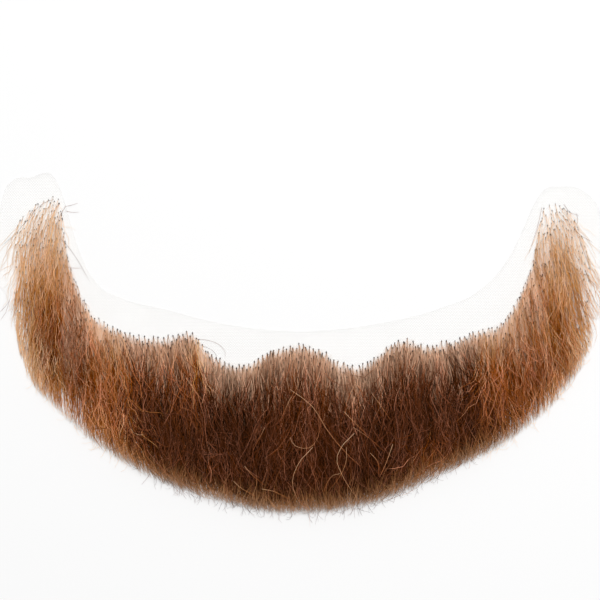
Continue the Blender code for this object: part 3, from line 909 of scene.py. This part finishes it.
def net_material(net):
    """Thread where a place is near the border of its hexagonal mesh. Two grids of points, one half a step
    over, are the middles of the meshes. A place belongs to the nearer middle, and its distance from the
    border is half a mesh less its greatest distance along the mesh's three axes."""
    material, start, shader = new_material("fine_net")
    place = start.out(start.node("ShaderNodeTexCoord"), 3)
    split = start.node("ShaderNodeSeparateXYZ", Vector=place)
    x, y = start.out(split, 0) / net.cell, start.out(split, 1) / net.cell
    wide, tall = 1.0, math.sqrt(3)

    def from_middle(over):
        """Distances across and up from the nearest middle of one grid."""
        away_x = (x + wide * over) % wide - wide / 2
        away_y = (y + tall * over) % tall - tall / 2
        return start.math("ABSOLUTE", away_x), start.math("ABSOLUTE", away_y)

    near = [from_middle(over) for over in (0.0, 0.5)]
    far = [x_part * x_part + y_part * y_part for x_part, y_part in near]
    second = start.math("LESS_THAN", far[1], far[0])
    away = [a + (b - a) * second for a, b in zip(*near)]
    reach = start.math("MAXIMUM", away[0], away[0] * 0.5 + away[1] * (tall / 2))
    half_thread = net.thread / net.cell / 2
    haired = start.out(start.node("ShaderNodeAttribute", {"attribute_name": "haired"}), 2)
    open_part = (0.5 - reach).step(half_thread * (1 - THREAD_BLUR), half_thread * (1 + THREAD_BLUR))
    # Near-opaque brown where hair is tied: thread and hair ends, and painted shade between the hairs
    cover = (net.cover + (net.haired_cover - net.cover) * haired) * (1 - open_part * (1 - haired))
    start.tree.links.new(cover.socket, shader.inputs["Alpha"])
    colour = start.mix(haired, net.colour, net.haired_colour_and_shade)
    start.tree.links.new(colour.socket, shader.inputs["Base Color"])
    shader.inputs["Roughness"].default_value = 0.6
    return material


class BEARD_OT_lay_net(Operator):
    """Lay the thin net that the hair is tied to"""

    bl_idname = "beard.lay_net"
    bl_label = "Lay the net"

    def execute(self, context):
        net = context.scene.beard_net
        shares = np.linspace(0, 1, NET_ROWS)
        across, up = np.meshgrid(np.linspace(-HALF_NET, HALF_NET, NET_COLUMNS), shares, indexing="ij")
        low, high = net_lower_y(across), net_upper_y(across)
        y = low + (high - low) * up
        z = net_z(across, y, net.wave)
        points = np.stack([across, y, z], axis=-1).reshape(-1, 3)
        corner = np.arange(NET_COLUMNS * NET_ROWS).reshape(NET_COLUMNS, NET_ROWS)
        quads = np.stack([corner[:-1, :-1], corner[1:, :-1], corner[1:, 1:], corner[:-1, 1:]], axis=-1)
        quads = quads.reshape(-1, 4)
        flat = points[quads.ravel(), :2]
        uv = (flat + (HALF_NET, HALF_NET)) / (2 * HALF_NET)
        piece = mesh_piece("lace_net", points, quads, uv, net_material(net))
        # Where hair is tied, for the net's brown cover that is partly painted shade between the hairs
        haired = np.clip((knots_y(points[:, 0]) - points[:, 1]) / HAIR_CLOSE, 0.0, 1.0)
        haired = haired * np.clip((PALE_HIGH - points[:, 1]) / (PALE_HIGH - PALE_LOW), 0.0, 1.0)
        haired = haired * np.clip((HAIR_OUT * HALF_SPAN - np.abs(points[:, 0])) / HAIR_FADE, 0.0, 1.0)
        layer = piece.data.attributes.new("haired", "FLOAT", "POINT")
        layer.data.foreach_set("value", haired.astype(np.float32))
        wall = piece.modifiers.new("thickness", "SOLIDIFY")
        wall.thickness = net.thickness
        wall.offset = -1.0
        step = 2 * HALF_NET / (NET_COLUMNS - 1)
        area = float(np.sum(high[:, 0] - low[:, 0]) * step)
        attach(piece, "root")
        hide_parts("lace_base")
        return {"FINISHED"}


class BEARD_OT_tie_knots(Operator):
    """Tie the knots, small beads that stand on the net in rows"""

    bl_idname = "beard.tie_knots"
    bl_label = "Tie the knots"

    def execute(self, context):
        hair = context.scene.beard_hair
        x, y = knot_places(hair)
        count = len(x)
        rng = np.random.default_rng(SEEDS["knot_size"])
        k = np.arange(KNOT_SIDES)
        turn = 2 * math.pi * k / KNOT_SIDES
        ring = np.stack([np.cos(turn), np.zeros(KNOT_SIDES), np.sin(turn)], axis=-1)
        corners = np.vstack([ring, [(0.0, 1.0, 0.0), (0.0, -1.0, 0.0)]])
        after = (k + 1) % KNOT_SIDES
        upper = np.stack([after, k, np.full(KNOT_SIDES, KNOT_SIDES)], axis=-1)
        lower = np.stack([k, after, np.full(KNOT_SIDES, KNOT_SIDES + 1)], axis=-1)
        faces = np.vstack([upper, lower])
        arm = arm_share(x)[:, None, None]
        size = rng.uniform(*EVEN_WIDTH, (count, 1, 1)) * (1 - ARM_KNOT * arm) * np.array(KNOT_SHAPE)
        size = hair.knot_size / 2 * size
        middles = np.stack([x, y, np.full(count, NET_LIE + KNOT_LIE * hair.knot_size / 2)], axis=-1)
        points = middles[:, None, :] + corners[None] * size
        faces = (np.arange(count)[:, None, None] * len(corners) + faces[None]).reshape(-1, 3)
        uv = np.tile([(0.1, 0.1), (0.9, 0.1), (0.5, 0.9)], (len(faces), 1))
        material, _, shader = new_material("tight_knots")
        shader.inputs["Base Color"].default_value = (*hair.knot, 1.0)
        shader.inputs["Roughness"].default_value = 0.55
        piece = mesh_piece("hair_knots", points.reshape(-1, 3), faces, uv, material)
        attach(piece, "root")
        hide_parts("chin_hair")
        return {"FINISHED"}


class BEARD_OT_tie_hair(Operator):
    """Tie every hair of the beard, one piece for each kind of hair in each field"""

    bl_idname = "beard.tie_hair"
    bl_label = "Tie the hair"

    def execute(self, context):
        hair = context.scene.beard_hair
        material = hair_material(hair)
        for number, kind in enumerate(HAIR_KINDS):
            rng = np.random.default_rng(SEEDS["hair"] + number)
            x, y, knot = tied_hairs(kind, hair, rng)
            paths = hair_paths(x, y, knot, kind, hair, rng)
            # A hair's lightness: its own, and painted shade, as kinds that lie deep in the pile take darker
            # ranges
            low, high = kind["shade"]
            knot_shade = np.random.default_rng(SEEDS["knot_shade"]).random(knot.max() + 1)[knot]
            chance = KNOT_SHADE * knot_shade + (1 - KNOT_SHADE) * rng.random(len(x))
            chance = chance + drift("shade", x, y)
            shade = low + (high - low) * np.clip(chance, 0, 1) ** kind["power"]
            columns = columns_of(tone_at(x, y, rng), shade)
            arm = arm_share(x)
            widths = hair.hair_width * kind["width"] * rng.uniform(*EVEN_WIDTH, len(x))
            widths = widths * (1 + CHIN_COARSE * (1 - arm))
            # Tips that end near the lower edge show the pale tip colours, partly painted light; farther in
            # they are left out
            fade = PALE_LIT_TIP_FADE * (1 + ARM_PALE_LIT_TIP * arm)
            above_rim = off_edge(tips_y, paths[:, -1, 0], paths[:, -1, 1])
            no_pale_lit_tip = NO_PALE_LIT_TIP * np.clip((above_rim - PALE_LIT_TIP_NEAR) / fade, 0.0, 1.0)
            along_start, along_end = kind["along"]
            v_start = np.full(len(x), along_start)
            v_end = (1 - no_pale_lit_tip) * along_end
            for name, start, end, node, slot in FIELDS:
                kept = (x >= start) & (x < end)
                piece = hair_tubes(
                    f"{name}_{kind['kind']}", paths[kept], hair_steps(kind), widths[kept], columns[kept],
                    material, v_start[kept], v_end[kept]
                )
                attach(piece, "root")
                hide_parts(node)
        return {"FINISHED"}


class BEARD_OT_scatter_loose(Operator):
    """Lay the stray hairs that cross the beard or stand off its edges"""

    bl_idname = "beard.scatter_loose"
    bl_label = "Scatter stray hairs"

    def execute(self, context):
        hair = context.scene.beard_hair
        rng = np.random.default_rng(SEEDS["stray"])
        flat = np.stack([smooth_curve(row[2], STRAY_STEPS) for row in STRAY_HAIRS]) / 1000
        x, y = flat[..., 0], flat[..., 1]
        inside = np.clip((knots_y(x) - y) / HAIR_CLOSE, 0.0, 1.0)
        z = NET_LIE + STRAY_LIFT + STRAY_PILE * hair_depth(x, share_along(x, y)) * inside
        wisps = rim_wisps(hair.wisps, rng)
        paths = np.concatenate([np.stack([x, y, z], axis=-1), wisps])
        tone = np.append([row[0] for row in STRAY_HAIRS], tone_at(wisps[:, 0, 0], wisps[:, 0, 1], rng))
        shade = np.append([row[1] for row in STRAY_HAIRS], rng.uniform(*WISP["shade"], len(wisps)))
        widths = np.append(np.full(len(flat), STRAY_WIDTH), rng.uniform(*WISP["width"], len(wisps)))
        widths = hair.hair_width * widths
        v_start = np.where(tone > DARK_STRAY, DARK_STRAY_START, PALE_STRAY_START)
        piece = hair_tubes(
            "stray_hairs", paths, STRAY_STEPS, widths, columns_of(tone, shade), hair_material(hair), v_start,
            v_start + STRAY_STRETCH
        )
        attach(piece, "root")
        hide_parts("chin_hair")
        return {"FINISHED"}


class BEARD_OT_set_stage(Operator):
    """Set the white table, the soft light and the camera above them"""

    bl_idname = "beard.set_stage"
    bl_label = "Set the stage"

    def execute(self, context):
        stage = context.scene.beard_stage
        scene = context.scene
        scene.view_settings.view_transform = "Standard"
        mesh = bpy.data.meshes.new("table")
        half = TABLE_HALF
        corners = [(-half, -half, 0), (half, -half, 0), (half, half, 0), (-half, half, 0)]
        mesh.from_pydata(corners, [], [(0, 1, 2, 3)])
        material, _, shader = new_material("white_table")
        shader.inputs["Base Color"].default_value = (TABLE_GREY, TABLE_GREY, TABLE_GREY, 1.0)
        shader.inputs["Roughness"].default_value = 0.9
        shader.inputs["Emission Color"].default_value = (1.0, 1.0, 1.0, 1.0)
        shader.inputs["Emission Strength"].default_value = stage.glow
        mesh.materials.append(material)
        table = bpy.data.objects.new("table", mesh)
        scene.collection.objects.link(table)

        world = bpy.data.worlds.new("white_room")
        world.use_nodes = True
        background = world.node_tree.nodes["Background"]
        background.inputs["Color"].default_value = (1.0, 1.0, 1.0, 1.0)
        background.inputs["Strength"].default_value = stage.sky
        scene.world = world

        lamp = bpy.data.lights.new("key", "AREA")
        lamp.size = LAMP_SIZE
        lamp.energy = stage.key
        key = bpy.data.objects.new("key", lamp)
        key.location = LAMP_PLACE
        key.rotation_euler = (-key.location).to_track_quat("-Z", "Y").to_euler()
        scene.collection.objects.link(key)

        camera = bpy.data.objects.new("camera", bpy.data.cameras.new("camera"))
        camera.data.lens = stage.lens
        camera.location = (*VIEW_MIDDLE, stage.view_width * stage.lens / camera.data.sensor_width)
        scene.collection.objects.link(camera)
        scene.camera = camera
        return {"FINISHED"}


class BEARD_PT_panel(Panel):
    bl_label = "False Beard"
    bl_idname = "BEARD_PT_panel"
    bl_space_type = "VIEW_3D"
    bl_region_type = "UI"
    bl_category = "Beard"

    def draw(self, context):
        for settings in (context.scene.beard_hair, context.scene.beard_net, context.scene.beard_stage):
            box = self.layout.box()
            for name in settings.__annotations__:
                box.prop(settings, name)
        for operator in OPERATORS:
            self.layout.operator(operator.bl_idname)


OPERATORS = (
    BEARD_OT_lay_net,
    BEARD_OT_tie_knots,
    BEARD_OT_tie_hair,
    BEARD_OT_scatter_loose,
    BEARD_OT_set_stage,
)
CLASSES = (HairSettings, NetSettings, StageSettings, *OPERATORS, BEARD_PT_panel)


def register():
    for kind in CLASSES:
        bpy.utils.register_class(kind)
    bpy.types.Scene.beard_hair = PointerProperty(type=HairSettings)
    bpy.types.Scene.beard_net = PointerProperty(type=NetSettings)
    bpy.types.Scene.beard_stage = PointerProperty(type=StageSettings)


def unregister():
    for name in ("beard_hair", "beard_net", "beard_stage"):
        delattr(bpy.types.Scene, name)
    for kind in reversed(CLASSES):
        bpy.utils.unregister_class(kind)


def main():
    """Build the scene."""
    register()
    bpy.ops.beard.set_stage()
    bpy.ops.beard.lay_net()
    bpy.ops.beard.tie_knots()
    bpy.ops.beard.tie_hair()
    bpy.ops.beard.scatter_loose()


if __name__ == "__main__":
    main()
